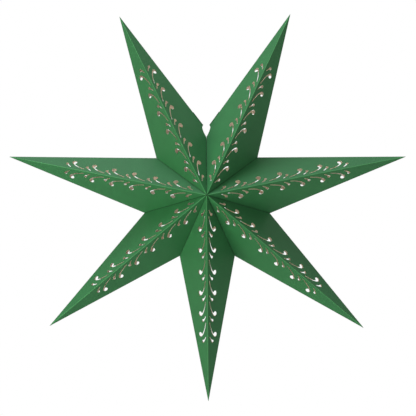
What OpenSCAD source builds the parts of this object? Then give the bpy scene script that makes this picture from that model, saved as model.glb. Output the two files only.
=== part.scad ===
// Paper star lamp shade: seven folded paper points, glued side by side into a hanging star.
// Every point is one sheet with two facets in front and two behind, die-cut with rows of scrolls.
// Millimetres, +Z up, the front faces -Y. The origin is the middle of the cord opening,
// as far above the star's axis as the corners between the other points lie from it.

/* [Star] */
// Distance from the star's axis to the tip of a point
tip_r = 350; // [250:1:450]
// Distance from the middle plane to the front apex, and to the back apex
half_depth = 85; // [60:1:110]
// Distance from the star's axis to the corner between two points
corner_r = 111.6; // [90:0.1:130]
// Degrees that each point sits off its even place, going left from the cord opening
turn = [-0.62, 0.39, -0.16, -0.42, -2.03, -1.96, 0.65]; // [-2.1:0.01:2.1]

/* [Paper] */
// Thickness of the paper
paper_t = 0.4; // [0.3:0.05:0.8]
// Width of the glue flaps that are folded in along the valleys
flap_w = 11; // [6:0.5:13]
// Distance from the apex to the start of a flap
flap_start = 22; // [16:1:40]
// Distance from the apex to the end of a flap
flap_end = 124; // [110:1:126]
// How far a flap's slanted ends run along the valley
flap_slant = 9; // [5:0.5:14]
// Width of the bare fold left beside a flap
fold_w = 1.2; // [0.8:0.1:2]
// Radius left clear of flaps round the star's axis
core_r = 2.7; // [2.4:0.1:4]

/* [Scroll rows] */
// Small scrolls in a row, with a large one between each two
small_count = 7; // [3:1:7]
// Distance along the ridge from the apex to the first scroll's tail
first_cut = 26.6; // [24:0.1:34]
// Distance from one small scroll to the next
pitch = 36.45; // [34:0.05:38]
// Distance from a small scroll's tail to the next large one's
large_after = 11; // [10:0.1:14]
// Extra space between the inner five cuts of a row and the outer ones
row_gap = 1.9; // [0:0.1:4]
// Distance of a scroll's tail from the ridge
tail_v = 5.6; // [4:0.1:8]
// Width of a tail at its tip
tail_w = 1.5; // [1:0.1:2]
// Radius of a large scroll's head
large_r = 4.25; // [3:0.05:5]
// Radius of a small scroll's head
small_r = 2.6; // [2:0.05:3.5]

/* [Cord opening] */
// Distance from the star's axis to the corner at the cord opening
seam_r = 118; // [112:0.1:120]
// Distance from that corner to where the notch for the cord starts on the side edge
notch_out = 9.2; // [8:0.1:9.2]
// How far the notch reaches below the corner
notch_deep = 13.2; // [10:0.1:14]
// Width of its blunt lower end
notch_end_w = 0.4; // [0.2:0.1:1]
// Half the width of the notch at its shoulder
notch_half = 7.1; // [6.5:0.1:8]
// Height of the shoulder above the corner
notch_high = 4.2; // [3:0.1:5]
// How far its curved side bows out from a straight cut
notch_bow = 0.9; // [0.2:0.1:1.5]
// How far the turned-in edge beside the notch stands out
lip_out = 0.6; // [0.4:0.1:1.5]
// Distance from the corner to where that edge starts
lip_start = 9.4; // [9.4:0.1:16]
// Distance from the corner to where that edge ends
lip_end = 38; // [30:1:60]

/* [Closing seam] */
// Degrees between the seam's middle and the flap of each end point
seam_open = 0.05; // [0.05:0.01:0.4]
// Length of the pads that close the seam
pad_l = 84; // [20:1:84]
// Width of the pads
pad_w = 6; // [4:0.5:8]

/* [Hidden] */

green = [0.22, 0.48, 0.28];
pale = [0.85, 0.83, 0.78];
points = len(turn);
last = points - 1;
step_deg = 360 / points;
ridge_l = norm([tip_r, half_depth]);
apex = [0, 0, half_depth];
tip = [tip_r, 0, 0];
// Reach of a cutter past the paper on either side
through = 1.5;

// Direction of a point, anticlockwise from +X as seen from the front
function point_deg(i) = 90 + step_deg * (i + 0.5) + turn[i];

// Half the angle from a point to the next one on its left, less the opening at the seam
function left_deg(i) =
    (step_deg + turn[(i + 1) % points] - turn[i]) / 2 - (i == last ? seam_open : 0);

// The same on its right
function right_deg(i) =
    (step_deg + turn[i] - turn[(i + last) % points]) / 2 - (i == 0 ? seam_open : 0);

// Corner beside a point, where a is the angle from the point's ridge and r the corner's distance
// from the axis
function corner(a, r) = r * [cos(a), sin(a), 0];

// Outward normal of the front facet that ends at that corner
function facet_normal(a, r) =
    let(n = cross(tip - apex, corner(a, r) - apex)) n / norm(n);

// The same corner moved in to lie the given inset behind the facet and behind the side wall
function inset_corner(a, r, inset) =
    let(n = facet_normal(a, r), k = n * apex - inset, d = n.x * cos(a) + n.y * sin(a))
    [(k * cos(a) + n.y * inset) / d, (k * sin(a) - n.x * inset) / d, 0];

// Length of the valley from the apex to a corner
function valley_l(r) = norm([r, half_depth]);

// Place along the valley, s from the apex and w in from the fold, as radius and depth
function on_wall(s, w, r) =
    [s * r - w * half_depth, half_depth * (valley_l(r) - s) - w * r] / valley_l(r);

// Point on a quadratic curve
function curve(c, t) = (1 - t) * (1 - t) * c[0] + 2 * t * (1 - t) * c[1] + t * t * c[2];

// Unit normal of that curve
function curve_normal(c, t) =
    let(d = (1 - t) * (c[1] - c[0]) + t * (c[2] - c[1])) [-d.y, d.x] / norm(d);

// Solid point of the star with its ridge along +X, every face moved in by the inset. left and
// right are the angle and the radius of a corner
module solid_point(left, right, inset) {
    mean = (left + right) / 2;
    n = facet_normal(mean[0], mean[1]);
    k = n * apex - inset;
    in_x = inset / sin(mean[0]);
    in_z = (k - n.x * in_x) / n.z;
    r = inset_corner(right[0], right[1], inset);
    polyhedron(
        points = [[in_x, 0, in_z], [k / n.x, 0, 0], [in_x, 0, -in_z],
                  inset_corner(left[0], left[1], inset), [r.x, -r.y, 0]],
        faces = [[0, 3, 1], [0, 1, 4], [2, 1, 3], [2, 4, 1], [0, 2, 3], [0, 4, 2]]);
}

// One scroll: a curved tail that widens into a round head
module scroll(path, head, head_r, sides, steps) {
    width = [for (j = [0 : steps]) tail_w / 2 * (1 + 0.6 * j / steps)];
    side = [for (j = [0 : steps]) curve_normal(path, j / steps) * width[j]];
    mid = [for (j = [0 : steps]) curve(path, j / steps)];
    union() {
        polygon(concat([for (j = [0 : steps]) mid[j] - side[j]],
                       [for (j = [steps : -1 : 0]) mid[j] + side[j]]));
        translate(head) rotate(180 / sides) circle(head_r, $fn = sides);
    }
}

module small_scroll() {
    scroll([[0, 0], [5.6, 3], [10.4, 6.6]], [9, 7.2], small_r, 6, 2);
}

module large_scroll() {
    scroll([[0, 0], [20, 4], [26.6, 12.6]], [23.9, 14.2], large_r, 8, 3);
}

// Row of cuts on one facet, x along the ridge from the apex and y away from the ridge
module scroll_row() {
    for (i = [0 : small_count - 1])
        translate([first_cut + pitch * i + (i > 2 ? row_gap : 0), tail_v]) small_scroll();
    for (i = [0 : small_count - 2])
        translate([first_cut + large_after + pitch * i + (i > 1 ? row_gap : 0), tail_v])
            large_scroll();
}

// Cutter for one facet. front is 1 or -1, and the corner is at that angle and radius
module facet_cut(front, side, r) {
    top = [0, 0, front * half_depth];
    along = (tip - top) / ridge_l;
    reach = corner(side, r) - top;
    out = reach - (reach * along) * along;
    across = out / norm(out);
    up = cross(along, across);
    multmatrix([[along.x, across.x, up.x, top.x], [along.y, across.y, up.y, top.y],
                [along.z, across.z, up.z, top.z], [0, 0, 0, 1]])
        linear_extrude(2 * through, center = true) scroll_row();
}

// What is open in a side wall, so that only the glue flaps remain
module wall_window(side, r) {
    upper = [on_wall(core_r, fold_w, r),
             on_wall(flap_start, fold_w, r),
             on_wall(flap_start + flap_slant, flap_w, r),
             on_wall(flap_end - flap_slant, flap_w, r),
             on_wall(flap_end, fold_w, r)];
    rotate(side) rotate([90, 0, 0])
        linear_extrude(2 * through, center = true)
            polygon(concat(upper, [[r - fold_w * valley_l(r) / half_depth, 0]],
                           [for (j = [len(upper) - 1 : -1 : 0]) [upper[j].x, -upper[j].y]]));
}

// Cutter for the notch at the corner on that side: seen from the front, a wedge with bowed sides
// and a shoulder under the turned-in edge, cut half a paper thickness past the side edge
module notch(side) {
    c = corner(side, seam_r);
    toward = (tip - c) / norm(tip - c);
    out = c / seam_r;
    start = notch_out * [toward * out, norm(cross(toward, out))];
    shoulder = [notch_high, notch_half];
    bottom = [-notch_deep, notch_end_w / 2];
    run = shoulder - bottom;
    bend = (shoulder + bottom) / 2 + 2 * notch_bow * [-run.y, run.x] / norm(run);
    past = start + paper_t / 2 * (start - shoulder) / norm(start - shoulder);
    edge = [for (j = [0 : 4]) curve([bottom, bend, shoulder], j / 4), past];
    translate(c) rotate(side) linear_extrude(2 * notch_deep, center = true)
        polygon(concat(edge, [for (j = [len(edge) - 1 : -1 : 0]) [edge[j].x, -edge[j].y]]));
}

// Turned-in edge beside the cord opening, along the line from the corner to the tip
module lip(side) {
    c = corner(side, seam_r);
    toward = (tip - c) / norm(tip - c);
    out = [-toward.y, toward.x, 0] * sign(side);
    linear_extrude(2 * paper_t, center = true)
        polygon([for (e = [[lip_start, -1], [lip_end, -1], [lip_end - lip_out, 1], [lip_start, 1]])
                     let(p = c + toward * e[0] + out * lip_out * e[1]) [p.x, p.y]]);
}

// One folded sheet with its ridge along +X. left and right are the angles of its corners, and seam
// is 1 with the cord opening on its left, -1 on its right and 0 elsewhere
module sheet(left, right, seam) {
    left_r = seam > 0 ? seam_r : corner_r;
    right_r = seam < 0 ? seam_r : corner_r;
    at_seam = seam > 0 ? left : -right;
    difference() {
        union() {
            solid_point([left, left_r], [right, right_r], 0);
            if (seam != 0) lip(at_seam);
        }
        solid_point([left, left_r], [right, right_r], paper_t);
        cylinder(2 * (half_depth - 1.5 * core_r), r = core_r, center = true);
        for (side = [[left, left_r], [-right, right_r]]) {
            wall_window(side[0], side[1]);
            for (front = [1, -1]) facet_cut(front, side[0], side[1]);
        }
        if (seam != 0) notch(at_seam);
    }
}

// From the star's own plane, with its axis along +Z, to its hanging place
module hang() {
    rotate([90, 0, 0]) translate([0, -corner_r, 0]) children();
}

// One point of the star in its place
module star_point(i) {
    hang() rotate(point_deg(i))
        sheet(left_deg(i), right_deg(i), i == 0 ? -1 : i == last ? 1 : 0);
}

// Pad between the flaps of the two end points. front is 1 or -1
module seam_pad(front) {
    mid_s = valley_l(seam_r) / 2;
    low = fold_w + 1;
    rim = [for (e = [[-1, 0], [1, 0], [1, 1], [-1, 1]])
               on_wall(mid_s + e[0] * pad_l / 2, low + e[1] * pad_w, seam_r)];
    hang() intersection() {
        rotate([90, 0, 90]) linear_extrude(4 * through, center = true)
            polygon([for (p = rim) [p.x, front * p.y]]);
        linear_extrude(2 * half_depth, center = true)
            polygon([[0, 0], corner_r * [sin(seam_open), cos(seam_open)],
                     corner_r * [-sin(seam_open), cos(seam_open)]]);
    }
}

module point_1() { color(green) star_point(0); }
module point_2() { color(green) star_point(1); }
module point_3() { color(green) star_point(2); }
module point_4() { color(green) star_point(3); }
module point_5() { color(green) star_point(4); }
module point_6() { color(green) star_point(5); }
module point_7() { color(green) star_point(6); }
module seam_pad_front() { color(pale) seam_pad(1); }
module seam_pad_back() { color(pale) seam_pad(-1); }

point_1();
point_2();
point_3();
point_4();
point_5();
point_6();
point_7();
seam_pad_front();
seam_pad_back();
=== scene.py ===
import math

import bpy
from mathutils import Matrix, Vector


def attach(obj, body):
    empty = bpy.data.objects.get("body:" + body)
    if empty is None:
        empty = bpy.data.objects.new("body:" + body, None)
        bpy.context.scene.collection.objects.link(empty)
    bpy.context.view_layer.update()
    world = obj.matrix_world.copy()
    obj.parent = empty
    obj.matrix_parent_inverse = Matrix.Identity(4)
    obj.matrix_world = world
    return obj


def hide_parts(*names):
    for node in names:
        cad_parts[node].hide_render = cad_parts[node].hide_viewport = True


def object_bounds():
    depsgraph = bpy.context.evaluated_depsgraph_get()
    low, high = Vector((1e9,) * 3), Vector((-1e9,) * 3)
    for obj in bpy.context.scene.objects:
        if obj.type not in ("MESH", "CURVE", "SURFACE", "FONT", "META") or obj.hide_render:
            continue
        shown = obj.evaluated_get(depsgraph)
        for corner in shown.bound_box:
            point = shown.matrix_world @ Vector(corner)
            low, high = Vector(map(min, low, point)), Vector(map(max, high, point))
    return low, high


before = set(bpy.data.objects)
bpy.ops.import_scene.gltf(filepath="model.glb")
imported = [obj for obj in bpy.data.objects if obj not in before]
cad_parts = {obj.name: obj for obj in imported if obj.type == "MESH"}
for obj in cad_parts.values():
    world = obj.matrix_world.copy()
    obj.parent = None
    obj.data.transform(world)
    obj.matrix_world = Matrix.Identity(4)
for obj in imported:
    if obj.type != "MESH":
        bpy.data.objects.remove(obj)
cad_low, cad_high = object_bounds()

# --- The view ---
# The star hangs by the cord opening, whose middle is the origin, and the star's own middle is one
# corner radius below. It is seen almost straight from the front and a little from below, with a
# long lens.
CORNER_R = 0.1116
STAR_MIDDLE = Vector((0, 0, -CORNER_R))
VIEW_POINT = Vector((0.0011, 0, -0.1296))
VIEW_DISTANCE = 2.599
VIEW_RIGHT = math.radians(0.624)
VIEW_UP = math.radians(-2.649)
VIEW_ROLL = math.radians(0.745)
FOCAL_LENGTH = 130.27
SENSOR_WIDTH = 36

away = Vector((math.sin(VIEW_RIGHT) * math.cos(VIEW_UP),
               -math.cos(VIEW_RIGHT) * math.cos(VIEW_UP), math.sin(VIEW_UP)))
lens = bpy.data.cameras.new("view")
lens.lens = FOCAL_LENGTH
lens.sensor_width = SENSOR_WIDTH
camera = bpy.data.objects.new("view", lens)
camera.matrix_world = (Matrix.Translation(VIEW_POINT + away * VIEW_DISTANCE)
                       @ away.to_track_quat("Z", "Y").to_matrix().to_4x4()
                       @ Matrix.Rotation(-VIEW_ROLL, 4, "Z"))
bpy.context.scene.collection.objects.link(camera)
bpy.context.scene.camera = camera

# --- The studio ---
# A pale floor well below the star, a white backdrop that only the camera and the sheen see, an
# even soft light from the room, a soft box low on the left, one above and one behind.
FLOOR_Z = -1.1
FLOOR_HALF = 2.6
ROOM_LIGHT = 0.33

bpy.context.scene.view_settings.view_transform = "Standard"
room = bpy.data.worlds.new("room")
bpy.context.scene.world = room
room.use_nodes = True
room_tree = room.node_tree
room_tree.nodes.clear()
rays = room_tree.nodes.new("ShaderNodeLightPath")
mirrored, seen = (room_tree.nodes.new("ShaderNodeMath") for _ in range(2))
mirrored.operation = seen.operation = "MAXIMUM"
room_tree.links.new(rays.outputs["Is Glossy Ray"], mirrored.inputs[0])
room_tree.links.new(rays.outputs["Is Transmission Ray"], mirrored.inputs[1])
room_tree.links.new(rays.outputs["Is Camera Ray"], seen.inputs[0])
room_tree.links.new(mirrored.outputs[0], seen.inputs[1])
soft = room_tree.nodes.new("ShaderNodeBackground")
soft.inputs["Color"].default_value = (1, 0.98, 0.99, 1)
soft.inputs["Strength"].default_value = ROOM_LIGHT
white = room_tree.nodes.new("ShaderNodeBackground")
white.inputs["Strength"].default_value = 1
white.inputs["Color"].default_value = (1, 1, 1, 1)
either = room_tree.nodes.new("ShaderNodeMixShader")
sky = room_tree.nodes.new("ShaderNodeOutputWorld")
room_tree.links.new(seen.outputs[0], either.inputs["Fac"])
room_tree.links.new(soft.outputs[0], either.inputs[1])
room_tree.links.new(white.outputs[0], either.inputs[2])
room_tree.links.new(either.outputs[0], sky.inputs["Surface"])

floor_mesh = bpy.data.meshes.new("floor")
floor_mesh.from_pydata([(x * FLOOR_HALF, y * FLOOR_HALF, FLOOR_Z)
                        for x, y in ((-1, -1), (1, -1), (1, 1), (-1, 1))], [], [(0, 1, 2, 3)])
floor = bpy.data.objects.new("floor", floor_mesh)
bpy.context.scene.collection.objects.link(floor)
floor_paint = bpy.data.materials.new("floor_paint")
floor_paint.use_nodes = True
floor_paint.node_tree.nodes["Principled BSDF"].inputs["Base Color"].default_value = (0.85, 0.85, 0.84, 1)
floor_paint.node_tree.nodes["Principled BSDF"].inputs["Roughness"].default_value = 0.9
floor_mesh.materials.append(floor_paint)


def soft_box(name, place, size, watts, tint):
    """A square soft lamp at a place relative to the star's middle, facing it."""
    lamp = bpy.data.lights.new(name, "AREA")
    lamp.shape = "SQUARE"
    lamp.size = size
    lamp.energy = watts
    lamp.color = tint
    box = bpy.data.objects.new(name, lamp)
    box.matrix_world = (Matrix.Translation(STAR_MIDDLE + Vector(place))
                        @ Vector(place).to_track_quat("Z", "Y").to_matrix().to_4x4())
    bpy.context.scene.collection.objects.link(box)


soft_box("low_left", (-2.2, -1.9, -0.8), 1.2, 75, (0.9, 1, 0.88))
soft_box("above", (-0.7, -0.45, 2.9), 1.2, 58, (0.96, 0.99, 1.12))
soft_box("behind", (0.9, 2.6, 1.4), 1.8, 60, (1, 0.98, 0.95))

# --- The scroll punches ---
# Two steel punches cut all the openings: a large and a small scroll, each a curved tail that
# widens into a round head. Only their outlines are needed, and they are taken away again below.
TAIL_W = 0.0015
TAIL_GROWTH = 0.6
CLEAR_OF_HEAD = 1.03


def punch_outline(name, path, head, head_r, steps, head_steps):
    """A closed outline: out along the tail's side nearer the ridge, round the head, and back."""
    start, bend, end, head = (Vector(p) / 1000 for p in (*path, head))
    head_r /= 1000
    near, far = [], []
    for i in range(steps + 1):
        t = i / steps
        middle = (1 - t) ** 2 * start + 2 * t * (1 - t) * bend + t * t * end
        run = ((1 - t) * (bend - start) + t * (end - bend)).normalized()
        side = Vector((-run.y, run.x)) * TAIL_W / 2 * (1 + TAIL_GROWTH * t)
        near.append(middle - side)
        if (middle + side - head).length > head_r * CLEAR_OF_HEAD:
            far.append(middle + side)
    first = math.atan2(*reversed(near[-1] - head))
    last = math.atan2(*reversed(far[-1] - head)) + 2 * math.pi
    round_head = [head + head_r * Vector((math.cos(a), math.sin(a)))
                  for a in (first + (last - first) * (i + 1) / (head_steps + 1)
                            for i in range(head_steps))]
    points = near + round_head + far[::-1]
    mesh = bpy.data.meshes.new(name)
    mesh.from_pydata([(*p, 0) for p in points],
                     [(i, (i + 1) % len(points)) for i in range(len(points))], [])
    punch = bpy.data.objects.new(name, mesh)
    bpy.context.scene.collection.objects.link(punch)
    return punch


large_punch = punch_outline("large_punch", ((0, 0), (20, 4), (26.6, 12.6)), (23.9, 14.2), 4.25, 8, 14)
small_punch = punch_outline("small_punch", ((0, 0), (5.6, 3), (10.4, 6.6)), (9, 7.2), 2.6, 4, 10)

# --- The cut facet ---
# One quarter of a point: a flat triangle between the ridge, the side edge and the valley, with a
# row of small scrolls along the ridge and a large one between each two. It is drawn flat, x along
# the ridge from the apex and y away from it, and then laid in its place.
SMALL_COUNT = 7
FIRST_CUT = 0.0266
PITCH = 0.03645
LARGE_AFTER = 0.011
ROW_GAP = 0.0019
TAIL_V = 0.0056
FLAP_START = 0.022
FLAP_END = 0.124
NOTCH_OUT = 0.0092
NOTCH_DEEP = 0.0132
NOTCH_HALF = 0.0071
NOTCH_HIGH = 0.0042
NOTCH_BOW = 0.0009
NOTCH_END_W = 0.0004
NOTCH_STEPS = 6
AWAY_FROM_FOLDS = 0.01


def part(tree, kind, links=None, **settings):
    """Adds one node. links gives each of its inputs another node's output or a plain value."""
    node = tree.nodes.new(kind)
    for name, value in settings.items():
        setattr(node, name, value)
    for key, value in (links or {}).items():
        for one in value if isinstance(value, list) else [value]:
            if isinstance(one, bpy.types.NodeSocket):
                tree.links.new(one, node.inputs[key])
            else:
                node.inputs[key].default_value = one
    return node


def vec(tree, operation, a, b=None):
    """One step of vector arithmetic. b is the second vector, or the factor of SCALE."""
    links = {0: a}
    if b is not None:
        links["Scale" if operation == "SCALE" else 1] = b
    node = part(tree, "ShaderNodeVectorMath", links, operation=operation)
    return node.outputs["Value" if operation in ("DOT_PRODUCT", "LENGTH") else "Vector"]


def num(tree, operation, a, b=0.0):
    """One step of arithmetic on two numbers."""
    return part(tree, "ShaderNodeMath", {0: a, 1: b}, operation=operation).outputs[0]


def xyz(tree, x=0.0, y=0.0, z=0.0):
    """A vector from three numbers."""
    return part(tree, "ShaderNodeCombineXYZ", {0: x, 1: y, 2: z}).outputs[0]


def new_tree(name, sockets, makes="Mesh"):
    """An empty node group with the named inputs, and its two end nodes."""
    tree = bpy.data.node_groups.new(name, "GeometryNodeTree")
    for label, kind in sockets:
        tree.interface.new_socket(label, in_out="INPUT", socket_type="NodeSocket" + kind)
    tree.interface.new_socket(makes, in_out="OUTPUT", socket_type="NodeSocketGeometry")
    return tree, tree.nodes.new("NodeGroupInput").outputs, tree.nodes.new("NodeGroupOutput").inputs


def outline(tree, corners):
    """A closed flat outline through the corners, as a curve."""
    index = part(tree, "GeometryNodeInputIndex").outputs[0]
    pick = part(tree, "GeometryNodeIndexSwitch", data_type="VECTOR")
    while len(pick.index_switch_items) < len(corners):
        pick.index_switch_items.new()
    tree.links.new(index, pick.inputs[0])
    for i, corner in enumerate(corners):
        tree.links.new(corner, pick.inputs[1 + i])
    line = part(tree, "GeometryNodeMeshLine", {"Count": len(corners)})
    placed = part(tree, "GeometryNodeSetPosition",
                  {"Geometry": line.outputs[0], "Position": pick.outputs[0]})
    curve = part(tree, "GeometryNodeMeshToCurve", {"Mesh": placed.outputs[0]})
    return part(tree, "GeometryNodeSetSplineCyclic",
                {"Geometry": curve.outputs[0], "Cyclic": True}).outputs[0]


def laid(tree, flat, origin, along, across, outward):
    """The flat mesh laid on the plane of two directions, with its faces turned outward."""
    place = part(tree, "ShaderNodeSeparateXYZ",
                 {0: part(tree, "GeometryNodeInputPosition").outputs[0]}).outputs
    there = vec(tree, "ADD", origin, vec(tree, "ADD", vec(tree, "SCALE", along, place[0]),
                                         vec(tree, "SCALE", across, place[1])))
    moved = part(tree, "GeometryNodeSetPosition", {"Geometry": flat, "Position": there})
    facing = vec(tree, "DOT_PRODUCT", vec(tree, "CROSS_PRODUCT", along, across), outward)
    return part(tree, "GeometryNodeFlipFaces",
                {"Mesh": moved.outputs[0], "Selection": num(tree, "LESS_THAN", facing)}).outputs[0]


def keep_distance(tree, flat, ridge, side, valley):
    """Stores how far each place lies from the ridge, the side edge and the valley."""
    return part(tree, "GeometryNodeStoreNamedAttribute",
                {"Geometry": flat, "Name": "fold_distance", "Value": xyz(tree, ridge, side, valley)},
                data_type="FLOAT_VECTOR", domain="POINT").outputs[0]


facet, given, result = new_tree("cut_facet", (
    ("Apex", "Vector"), ("Tip", "Vector"), ("Corner", "Vector"), ("Notch", "Float"),
    ("Large Punch", "Geometry"), ("Small Punch", "Geometry")))
ridge = vec(facet, "SUBTRACT", given["Tip"], given["Apex"])
along = vec(facet, "NORMALIZE", ridge)
valley = vec(facet, "SUBTRACT", given["Corner"], given["Apex"])
corner_s = vec(facet, "DOT_PRODUCT", valley, along)
off_ridge = vec(facet, "SUBTRACT", valley, vec(facet, "SCALE", along, corner_s))
across = vec(facet, "NORMALIZE", off_ridge)
corner_v = vec(facet, "LENGTH", off_ridge)
ridge_l = vec(facet, "LENGTH", ridge)
flat_corner = xyz(facet, corner_s, corner_v)
valley_way = vec(facet, "NORMALIZE", flat_corner)
side_way = vec(facet, "NORMALIZE", vec(facet, "SUBTRACT", xyz(facet, ridge_l), flat_corner))

# The cord notch is a cut straight through from the front. It starts on the side edge, has a shoulder
# and then a bowed side, which are drawn as seen from there, up and aside from the corner, and then
# found on the facet.
up = vec(facet, "NORMALIZE", given["Corner"])
toward = vec(facet, "SUBTRACT", given["Tip"], given["Corner"])
aside = vec(facet, "NORMALIZE", vec(facet, "SUBTRACT", toward, vec(
    facet, "SCALE", up, vec(facet, "DOT_PRODUCT", toward, up))))
normal = vec(facet, "CROSS_PRODUCT", along, across)
depth = part(facet, "ShaderNodeSeparateXYZ", {0: normal}).outputs[1]


def on_facet(way):
    """A direction seen from the front, as it runs on the flat facet."""
    drop = num(facet, "DIVIDE", vec(facet, "DOT_PRODUCT", way, normal), depth)
    there = vec(facet, "SUBTRACT", way, xyz(facet, 0.0, drop))
    return xyz(facet, vec(facet, "DOT_PRODUCT", there, along),
               vec(facet, "DOT_PRODUCT", there, across))


flat_up, flat_aside = on_facet(up), on_facet(aside)
shoulder = Vector((NOTCH_HIGH, NOTCH_HALF))
bottom = Vector((-NOTCH_DEEP, NOTCH_END_W / 2))
notch_run = (shoulder - bottom).normalized()
notch_bend = (shoulder + bottom) / 2 + 2 * NOTCH_BOW * Vector((-notch_run.y, notch_run.x))
notch = [vec(facet, "ADD", flat_corner,
             vec(facet, "SCALE", side_way, num(facet, "MULTIPLY", given["Notch"], NOTCH_OUT)))]
for j in range(NOTCH_STEPS + 1):
    t = j / NOTCH_STEPS
    spot = (1 - t) ** 2 * shoulder + 2 * t * (1 - t) * notch_bend + t * t * bottom
    offset = vec(facet, "ADD", vec(facet, "SCALE", flat_up, spot.x),
                 vec(facet, "SCALE", flat_aside, spot.y))
    notch.append(vec(facet, "ADD", flat_corner, vec(facet, "SCALE", offset, given["Notch"])))
triangle = outline(facet, (
    xyz(facet), xyz(facet, ridge_l), *notch,
    vec(facet, "SCALE", valley_way, FLAP_END), vec(facet, "SCALE", valley_way, FLAP_START)))


def punched_row(punch, count, first, before_gap):
    """The outlines of one row of cuts, with the extra space after the given one."""
    line = part(facet, "GeometryNodeMeshLine",
                {"Count": count, "Start Location": (first, TAIL_V, 0), "Offset": (PITCH, 0, 0)})
    after = num(facet, "GREATER_THAN", part(facet, "GeometryNodeInputIndex").outputs[0], before_gap)
    spaced = part(facet, "GeometryNodeSetPosition",
                  {"Geometry": line.outputs[0],
                   "Offset": xyz(facet, num(facet, "MULTIPLY", after, ROW_GAP))})
    drawn = part(facet, "GeometryNodeMeshToCurve", {"Mesh": punch})
    copies = part(facet, "GeometryNodeInstanceOnPoints",
                  {"Points": spaced.outputs[0], "Instance": drawn.outputs[0]})
    return part(facet, "GeometryNodeRealizeInstances", {0: copies.outputs[0]}).outputs[0]


small_row = punched_row(given["Small Punch"], SMALL_COUNT, FIRST_CUT, 2.5)
large_row = punched_row(given["Large Punch"], SMALL_COUNT - 1, FIRST_CUT + LARGE_AFTER, 1.5)
lines = part(facet, "GeometryNodeJoinGeometry", {0: [triangle, small_row, large_row]})
paper = part(facet, "GeometryNodeFillCurve", {0: lines.outputs[0]}, mode="TRIANGLES")

here = part(facet, "GeometryNodeInputPosition").outputs[0]
from_tip = vec(facet, "SUBTRACT", here, xyz(facet, ridge_l))
known = keep_distance(facet, paper.outputs[0],
                      part(facet, "ShaderNodeSeparateXYZ", {0: here}).outputs[1],
                      vec(facet, "LENGTH", vec(facet, "CROSS_PRODUCT", side_way, from_tip)),
                      vec(facet, "LENGTH", vec(facet, "CROSS_PRODUCT", valley_way, here)))
facet.links.new(laid(facet, known, given["Apex"], along, across, given["Apex"]), result["Mesh"])

# --- The glue flap ---
# A strip with slanted ends, folded in along the valley. It stands in the plane between two
# points, and the neighbour's flap is glued to it.
FLAP_W = 0.011
FLAP_SLANT = 0.009

flap, given, result = new_tree("glue_flap", (
    ("Apex", "Vector"), ("Tip", "Vector"), ("Corner", "Vector")))
valley = vec(flap, "SUBTRACT", given["Corner"], given["Apex"])
along = vec(flap, "NORMALIZE", valley)
back = vec(flap, "SCALE", given["Apex"], -1.0)
inward = vec(flap, "NORMALIZE", vec(flap, "SUBTRACT", back, vec(
    flap, "SCALE", along, vec(flap, "DOT_PRODUCT", back, along))))
strip = outline(flap, (
    xyz(flap, FLAP_START), xyz(flap, FLAP_END), xyz(flap, FLAP_END - FLAP_SLANT, FLAP_W),
    xyz(flap, FLAP_START + FLAP_SLANT, FLAP_W)))
paper = part(flap, "GeometryNodeFillCurve", {0: strip}, mode="TRIANGLES")
known = keep_distance(flap, paper.outputs[0], AWAY_FROM_FOLDS, AWAY_FROM_FOLDS, 0.0)
flap.links.new(laid(flap, known, given["Apex"], along, inward,
                    vec(flap, "SCALE", given["Tip"], -1.0)), result["Mesh"])

# --- The turned-in edge ---
# Beside the cord opening the side edge of each end point is turned in and glued double, so a
# narrow strip of two thicknesses stands a little out from the fold, green in front and behind.
LIP_OUT = 0.0006
LIP_START = 0.0094
LIP_END = 0.038
LIP_HALF_T = 0.00041

lip, given, result = new_tree("turned_edge", (("Tip", "Vector"), ("Corner", "Vector")))
toward = vec(lip, "NORMALIZE", vec(lip, "SUBTRACT", given["Tip"], given["Corner"]))
outward = vec(lip, "NORMALIZE", vec(lip, "SUBTRACT", given["Corner"], vec(
    lip, "SCALE", toward, vec(lip, "DOT_PRODUCT", given["Corner"], toward))))
strip = outline(lip, (xyz(lip, LIP_START, -LIP_OUT), xyz(lip, LIP_END, -LIP_OUT),
                      xyz(lip, LIP_END - LIP_OUT, LIP_OUT), xyz(lip, LIP_START, LIP_OUT)))
paper = part(lip, "GeometryNodeFillCurve", {0: strip}, mode="TRIANGLES")
known = keep_distance(lip, paper.outputs[0], AWAY_FROM_FOLDS, 0.0, AWAY_FROM_FOLDS)
layers = [laid(lip, known, vec(lip, "ADD", given["Corner"], (0, LIP_HALF_T * way, 0)),
               toward, outward, (0, way, 0)) for way in (-1, 1)]
both = part(lip, "GeometryNodeJoinGeometry", {0: layers})
lip.links.new(both.outputs[0], result["Mesh"])

# --- The folded point ---
# One sheet: two facets in front, two behind, and four glue flaps, joined along the folds. The
# point is worked out round the star's middle and then hung at its height.
SAME_PLACE = 0.00002

point_tree, given, result = new_tree("folded_point", (
    ("Tip", "Vector"), ("Left Corner", "Vector"), ("Right Corner", "Vector"),
    ("Left Notch", "Float"), ("Right Notch", "Float"), ("Half Depth", "Float"),
    ("Hang", "Vector"), ("Large Punch", "Object"), ("Small Punch", "Object"),
    ("Paper", "Material")), makes="Geometry")
punches = {name: part(point_tree, "GeometryNodeObjectInfo", {"Object": given[name]}).outputs["Geometry"]
           for name in ("Large Punch", "Small Punch")}
sheets = []
for front in (-1.0, 1.0):
    apex = xyz(point_tree, 0.0, num(point_tree, "MULTIPLY", given["Half Depth"], front))
    for side in ("Left", "Right"):
        links = {"Apex": apex, "Tip": given["Tip"], "Corner": given[side + " Corner"]}
        quarter = part(point_tree, "GeometryNodeGroup", node_tree=facet)
        folded_in = part(point_tree, "GeometryNodeGroup", node_tree=flap)
        for node in (quarter, folded_in):
            for name, value in links.items():
                point_tree.links.new(value, node.inputs[name])
        point_tree.links.new(given[side + " Notch"], quarter.inputs["Notch"])
        for name, value in punches.items():
            point_tree.links.new(value, quarter.inputs[name])
        sheets += [quarter.outputs[0], folded_in.outputs[0]]
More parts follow.
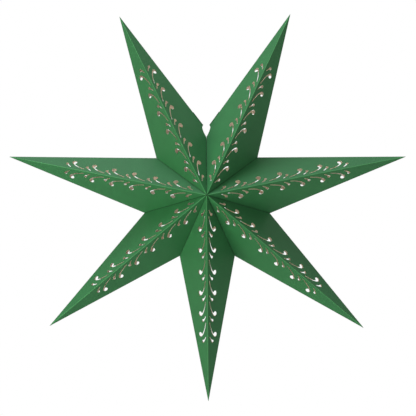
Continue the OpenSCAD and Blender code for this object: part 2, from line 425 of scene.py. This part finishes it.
whole = part(point_tree, "GeometryNodeMergeByDistance",
             {"Geometry": part(point_tree, "GeometryNodeJoinGeometry", {0: sheets}).outputs[0],
              "Distance": SAME_PLACE})
edges = [whole.outputs[0]]
for side in ("Left", "Right"):
    strip = part(point_tree, "GeometryNodeGroup", node_tree=lip)
    point_tree.links.new(given["Tip"], strip.inputs["Tip"])
    point_tree.links.new(given[side + " Corner"], strip.inputs["Corner"])
    only = part(point_tree, "GeometryNodeSwitch",
                {"Switch": num(point_tree, "GREATER_THAN", given[side + " Notch"]),
                 "True": strip.outputs[0]}, input_type="GEOMETRY")
    edges.append(only.outputs[0])
hung = part(point_tree, "GeometryNodeTransform",
            {"Geometry": part(point_tree, "GeometryNodeJoinGeometry", {0: edges}).outputs[0],
             "Translation": given["Hang"]})
real = part(point_tree, "GeometryNodeRealizeInstances", {0: hung.outputs[0]})
dyed = part(point_tree, "GeometryNodeSetMaterial",
            {"Geometry": real.outputs[0], "Material": given["Paper"]})
point_tree.links.new(dyed.outputs[0], result["Geometry"])

# --- The paper ---
# Stout matt paper, dyed green on the outer side only. The inner side and the cut edges are the
# paper's own warm white. A painted highlight lightens each ridge along its crest, where the
# rounded fold catches the light, and painted shade darkens the green along the side edges and
# the valleys, where the folds fall into shade.
GREEN = (0.022, 0.146, 0.041, 1)
# A painted highlight: the lighter green of the ridge crests, where the rounded folds catch the light.
GREEN_RIDGE_HIGHLIGHT = (0.075, 0.32, 0.10, 1)
# Painted shade: the darker green along the side edges and the valleys, where the folds fall into shade.
GREEN_FOLD_SHADE = (0.013, 0.085, 0.024, 1)
WARM_WHITE = (0.60, 0.51, 0.44, 1)
CUT_EDGE = (0.42, 0.50, 0.36, 1)
CLOUD_SCALE = 45.0
GRAIN_SCALE = 500.0
GRAIN_SHADE = 0.12
GRAIN_BUMP = 0.15
GRAIN_HEIGHT = 0.0002
# How far from the ridge the painted highlight runs, full and then fading out.
RIDGE_HIGHLIGHT_SPAN = (0.0002, 0.0011)
# How far from the side edges and the valleys the painted shade runs, full and then fading out.
FOLD_SHADE_SPAN = (0.0003, 0.0014)

fibre = bpy.data.node_groups.new("paper_fibre", "ShaderNodeTree")
for label, kind in (("Colour", "Color"), ("Cloudiness", "Float")):
    fibre.interface.new_socket(label, in_out="INPUT", socket_type="NodeSocket" + kind)
for label, kind in (("Colour", "Color"), ("Height", "Float")):
    fibre.interface.new_socket(label, in_out="OUTPUT", socket_type="NodeSocket" + kind)
given = fibre.nodes.new("NodeGroupInput").outputs
result = fibre.nodes.new("NodeGroupOutput").inputs
where = part(fibre, "ShaderNodeTexCoord").outputs["Object"]
cloud = part(fibre, "ShaderNodeTexNoise",
             {"Vector": where, "Scale": CLOUD_SCALE, "Detail": 3.0}).outputs[0]
grain = part(fibre, "ShaderNodeTexNoise",
             {"Vector": where, "Scale": GRAIN_SCALE, "Detail": 5.0}).outputs[0]
shade = 1.0
for noise, amount in ((cloud, given["Cloudiness"]), (grain, GRAIN_SHADE)):
    change = num(fibre, "MULTIPLY", num(fibre, "SUBTRACT", noise, 0.5), amount)
    shade = num(fibre, "ADD", shade, change)
fibre.links.new(vec(fibre, "SCALE", given["Colour"], shade), result["Colour"])
fibre.links.new(grain, result["Height"])


def near_fold(tree, distance, full, none):
    """A mask that is 1 up to one distance from a fold and 0 from another."""
    return part(tree, "ShaderNodeMapRange",
                {"Value": distance, "From Min": full, "From Max": none, "To Min": 1.0, "To Max": 0.0},
                interpolation_type="SMOOTHSTEP").outputs[0]


def paper_finish(name, colour, roughness, cloudiness, ridge_highlight_colour=None, fold_shade_colour=None, glow=0):
    """A matt paper of one colour, with fibre. If given, the next colour is a painted highlight on the
    ridge crests and the one after it painted shade along the other folds. glow is how far light runs in
    the paper, where it comes through from behind."""
    material = bpy.data.materials.new(name)
    material.use_nodes = True
    tree = material.node_tree
    shader = tree.nodes["Principled BSDF"]
    shader.inputs["Roughness"].default_value = roughness
    shader.inputs["Specular IOR Level"].default_value = 0.3
    base = colour
    if ridge_highlight_colour:
        distance = part(tree, "ShaderNodeAttribute", attribute_name="fold_distance")
        ridge_at, side_at, valley_at = part(
            tree, "ShaderNodeSeparateXYZ", {0: distance.outputs["Vector"]}).outputs
        # Painted highlight along the ridge crests.
        ridge_highlight_mask = near_fold(tree, ridge_at, *RIDGE_HIGHLIGHT_SPAN)
        base = part(tree, "ShaderNodeMix", {0: ridge_highlight_mask, 6: colour, 7: ridge_highlight_colour}, data_type="RGBA").outputs[2]
        # Painted shade along the side edges and the valleys.
        fold_shade_mask = near_fold(tree, num(tree, "MINIMUM", side_at, valley_at), *FOLD_SHADE_SPAN)
        base = part(tree, "ShaderNodeMix", {0: fold_shade_mask, 6: base, 7: fold_shade_colour}, data_type="RGBA").outputs[2]
    tone = part(tree, "ShaderNodeGroup", node_tree=fibre)
    tone.inputs["Cloudiness"].default_value = cloudiness
    if ridge_highlight_colour:
        tree.links.new(base, tone.inputs["Colour"])
    else:
        tone.inputs["Colour"].default_value = base
    tree.links.new(tone.outputs["Colour"], shader.inputs["Base Color"])
    bump = part(tree, "ShaderNodeBump", {"Strength": GRAIN_BUMP, "Distance": GRAIN_HEIGHT,
                                         "Height": tone.outputs["Height"]})
    tree.links.new(bump.outputs[0], shader.inputs["Normal"])
    if glow:
        shader.inputs["Subsurface Weight"].default_value = 1
        shader.inputs["Subsurface Scale"].default_value = glow
        shader.inputs["Subsurface Radius"].default_value = (1, 0.9, 0.8)
    return material


# The green face carries the painted highlight on its ridges and the painted shade along its other folds.
green_face = paper_finish("green_face", GREEN, 0.62, 0.25, GREEN_RIDGE_HIGHLIGHT, GREEN_FOLD_SHADE)
cut_edge = paper_finish("cut_edge", CUT_EDGE, 0.8, 0.1)
pale_side = paper_finish("pale_side", WARM_WHITE, 0.8, 0.1, glow=0.002)

# --- The seven points ---
# The points sit side by side round the middle, each a little off its even place because the star
# is opened by hand. The two at the cord opening are notched there, and their flaps stand slightly
# apart for the closing pads. The fold's roundness takes about 2 mm off a tip, so the sheet is that
# much longer than the sharp tip that it ends at.
TIP_R = 0.3518
SEAM_R = 0.118
HALF_DEPTH = (cad_high[1] - cad_low[1]) / 2
PAPER_T = 0.0004
FOLD_R = 0.0004
FOLD_ANGLE = math.radians(20)
SEAM_OPEN = 0.05
TURN = (-0.62, 0.39, -0.16, -0.42, -2.03, -1.96, 0.65)
STEP = 360 / len(TURN)


def around(radius, degrees):
    """A place in the star's middle plane, anticlockwise from +X as seen from the front."""
    return Vector((radius * math.cos(math.radians(degrees)), 0,
                   radius * math.sin(math.radians(degrees))))


for i, turn in enumerate(TURN):
    heading = 90 + STEP * (i + 0.5) + turn
    first, last = i == 0, i == len(TURN) - 1
    left = heading + (STEP + TURN[(i + 1) % len(TURN)] - turn) / 2 - (SEAM_OPEN if last else 0)
    right = heading - (STEP + turn - TURN[i - 1]) / 2 + (SEAM_OPEN if first else 0)
    node = f"point_{i + 1}"
    blank = bpy.data.objects.new("blank", bpy.data.meshes.new("blank"))
    bpy.context.scene.collection.objects.link(blank)
    for finish in (None, green_face, cut_edge, pale_side):
        blank.data.materials.append(finish)
    folding = blank.modifiers.new("folding", "NODES")
    folding.node_group = point_tree
    sizes = {"Tip": around(TIP_R, heading),
             "Left Corner": around(SEAM_R if last else CORNER_R, left),
             "Right Corner": around(SEAM_R if first else CORNER_R, right), "Left Notch": float(last),
             "Right Notch": float(first), "Half Depth": HALF_DEPTH,
             "Hang": STAR_MIDDLE, "Large Punch": large_punch, "Small Punch": small_punch,
             "Paper": green_face}
    for item in point_tree.interface.items_tree:
        if item.in_out == "INPUT":
            folding[item.identifier] = sizes[item.name]
    crease = blank.modifiers.new("crease", "BEVEL")
    crease.width = FOLD_R
    crease.segments = 3
    crease.limit_method = "ANGLE"
    crease.angle_limit = FOLD_ANGLE
    thick = blank.modifiers.new("thick", "SOLIDIFY")
    thick.thickness = PAPER_T
    thick.offset = -1
    thick.use_even_offset = True
    thick.material_offset = 2
    thick.material_offset_rim = 1
    folded = blank.evaluated_get(bpy.context.evaluated_depsgraph_get())
    sheet = bpy.data.meshes.new_from_object(folded)
    # The faces count their finishes from the blank's empty first slot, so that goes once all are there.
    for finish in (cut_edge, pale_side):
        sheet.materials.append(finish)
    sheet.materials.pop(index=0)
    sheet.name = f"paper_{node}"
    point = bpy.data.objects.new(f"paper_{node}", sheet)
    bpy.context.scene.collection.objects.link(point)
    bpy.data.objects.remove(blank)
    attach(point, "root")
    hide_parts(node)
for punch in (large_punch, small_punch):
    bpy.data.objects.remove(punch)

# --- The closing pads ---
# Two thin strips, like double-sided tape, between the flaps of the two end points close the last
# valley in front and behind and hold the star open.
pad_face = paper_finish("pad_face", (0.62, 0.60, 0.54, 1), 0.7, 0.1)
for node in ("seam_pad_front", "seam_pad_back"):
    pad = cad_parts[node]
    pad.data.materials.clear()
    pad.data.materials.append(pad_face)
